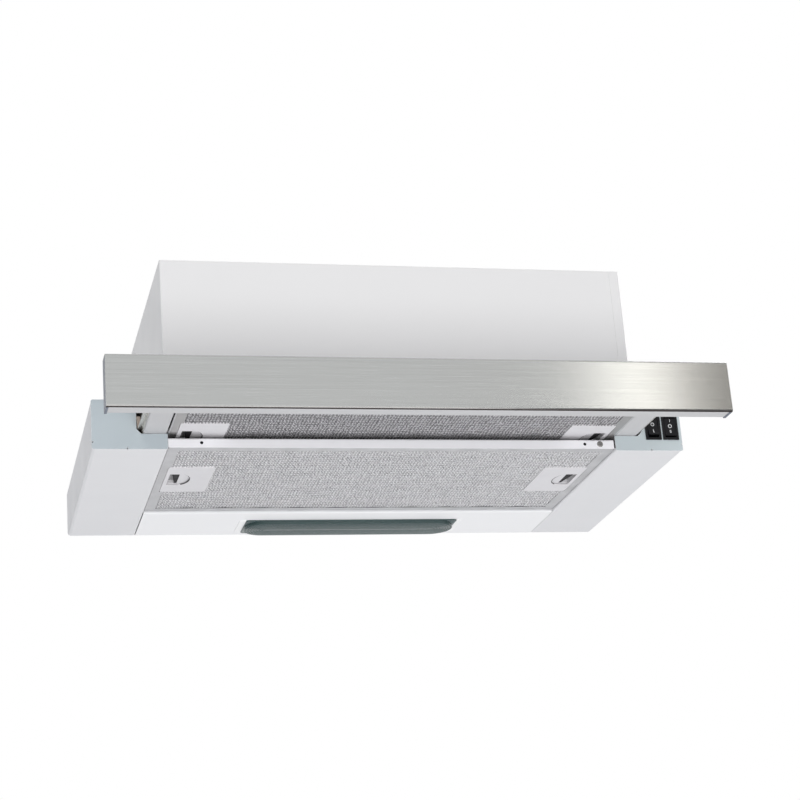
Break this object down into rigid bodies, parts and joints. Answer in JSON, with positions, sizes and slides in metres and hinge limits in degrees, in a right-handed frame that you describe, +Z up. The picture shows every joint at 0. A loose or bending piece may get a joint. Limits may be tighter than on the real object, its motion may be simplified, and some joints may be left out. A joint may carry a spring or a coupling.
{
  "type": "pull out range hood",
  "caption": "Slide-out cooker hood for a wall cabinet: low steel body with a blower box, a filter carriage on ball runners and a brushed steel front, underside lamp and rocker switches.",
  "frame": {"origin": "on the body's top deck, which seats against the cabinet's underside, on the body's centre line and midway along the ledge in front of the blower box", "axes": "+X to the hood's right along its front, +Y back to the wall, +Z up into the cabinet"},
  "size_m": [0.598, 0.434, 0.2341],
  "materials": {
    "white_paint": "satin white powder coat",
    "blue_white_paint": "satin bluish white coat",
    "brushed_steel": "long horizontal brushing",
    "slate_plastic": "fine matte",
    "white_plastic": "moulded satin",
    "filter_aluminium": "expanded mesh and folded edge",
    "zinc": "zinc plated",
    "ball_steel": "polished",
    "black_plastic": "semi-gloss black",
    "grey_plastic": "moulded matte",
    "lens_plastic": "translucent grey-green",
    "bulb_glass": "opal",
    "ceramic": "unglazed",
    "motor_metal": "stamped and cast"
  },
  "bodies": {
    "hood_body": {"left_arm": "blue_white_paint", "right_arm": "blue_white_paint", "top_deck": "white_paint", "front_rail": "white_paint", "rear_wall": "white_paint", "front_crossbar": "white_paint", "lamp_panel": "white_paint", "lamp_lens": "lens_plastic", "lamp_reflector": "white_paint", "lamp_socket_left": "ceramic", "bulb_left": "bulb_glass", "lamp_socket_right": "ceramic", "bulb_right": "bulb_glass", "rear_latch_housing_left": "white_plastic", "rear_latch_housing_right": "white_plastic", "rear_filter_frame": "filter_aluminium", "rear_filter_mesh": "filter_aluminium", "box_wrap": "white_paint", "box_side_right": "white_paint", "box_rear": "white_paint", "box_lid": "white_paint", "outlet_collar": "grey_plastic", "flap_pin": "zinc", "scroll_left": "grey_plastic", "scroll_right": "grey_plastic", "blower_motor": "motor_metal", "motor_bracket": "zinc", "capacitor": "white_plastic", "terminal_box": "grey_plastic", "cable_gland": "black_plastic", "light_switch_housing": "black_plastic", "fan_switch_housing": "black_plastic", "runner_outer_left": "zinc", "runner_outer_right": "zinc"},
    "carriage": {"front_panel": "brushed_steel", "panel_carrier": "white_paint", "end_cap_left": "slate_plastic", "end_cap_right": "slate_plastic", "carriage_beam_left": "white_paint", "carriage_beam_right": "white_paint", "carriage_front_rail": "white_paint", "carriage_rear_rail": "white_paint", "carriage_cover": "white_paint", "front_filter_frame": "filter_aluminium", "front_filter_mesh": "filter_aluminium", "front_latch_housing_left": "white_plastic", "front_latch_housing_right": "white_plastic", "runner_inner_left": "zinc", "runner_inner_right": "zinc"},
    "ball_cages": {"ball_cage_left": "ball_steel", "ball_cage_right": "ball_steel"},
    "rear_latch_left": {"rear_latch_left": "white_plastic"},
    "rear_latch_right": {"rear_latch_right": "white_plastic"},
    "front_latch_left": {"front_latch_left": "white_plastic"},
    "front_latch_right": {"front_latch_right": "white_plastic"},
    "light_rocker": {"light_rocker": "black_plastic"},
    "fan_rocker": {"fan_rocker": "black_plastic"},
    "impeller": {"impeller": "grey_plastic"},
    "flap_front": {"flap_front": "grey_plastic"},
    "flap_rear": {"flap_rear": "grey_plastic"}
  },
  "joints": [
    {"name": "carriage_slide", "type": "slide", "parent": "hood_body", "child": "carriage", "axis": [0, -1, 0], "range_m": [-0.1135, 0.04]},
    {"name": "ball_cage_slide", "type": "slide", "parent": "hood_body", "child": "ball_cages", "axis": [0, -1, 0], "range_m": [-0.057, 0.0205]},
    {"name": "rear_latch_left_slide", "type": "slide", "parent": "hood_body", "child": "rear_latch_left", "axis": [1, 0, 0], "range_m": [0, 0.0055], "stiffness_N_per_m": 300, "springref_m": -0.003},
    {"name": "rear_latch_right_slide", "type": "slide", "parent": "hood_body", "child": "rear_latch_right", "axis": [-1, 0, 0], "range_m": [0, 0.0055], "stiffness_N_per_m": 300, "springref_m": -0.003},
    {"name": "front_latch_left_slide", "type": "slide", "parent": "carriage", "child": "front_latch_left", "axis": [1, 0, 0], "range_m": [0, 0.0055], "stiffness_N_per_m": 300, "springref_m": -0.003},
    {"name": "front_latch_right_slide", "type": "slide", "parent": "carriage", "child": "front_latch_right", "axis": [-1, 0, 0], "range_m": [0, 0.0055], "stiffness_N_per_m": 300, "springref_m": -0.003},
    {"name": "light_rocker_tilt", "type": "hinge", "parent": "hood_body", "child": "light_rocker", "pos_m": [0.26835, -0.004, -0.0255], "axis": [1, 0, 0], "range_deg": [0, 14]},
    {"name": "fan_rocker_tilt", "type": "hinge", "parent": "hood_body", "child": "fan_rocker", "pos_m": [0.287, -0.004, -0.0255], "axis": [1, 0, 0], "range_deg": [-9, 9]},
    {"name": "impeller_spin", "type": "hinge", "parent": "hood_body", "child": "impeller", "pos_m": [0.015, 0.1095, 0.078], "axis": [1, 0, 0], "continuous": true},
    {"name": "flap_front_hinge", "type": "hinge", "parent": "hood_body", "child": "flap_front", "pos_m": [0.015, 0.15943, 0.1624], "axis": [-1, 0, 0], "range_deg": [0, 75]},
    {"name": "flap_rear_hinge", "type": "hinge", "parent": "hood_body", "child": "flap_rear", "pos_m": [0.015, 0.15943, 0.1624], "axis": [1, 0, 0], "range_deg": [0, 75]}
  ],
  "couplings": [
    {"joint": "ball_cage_slide", "follows": "carriage_slide", "ratio": 0.5}
  ]
}
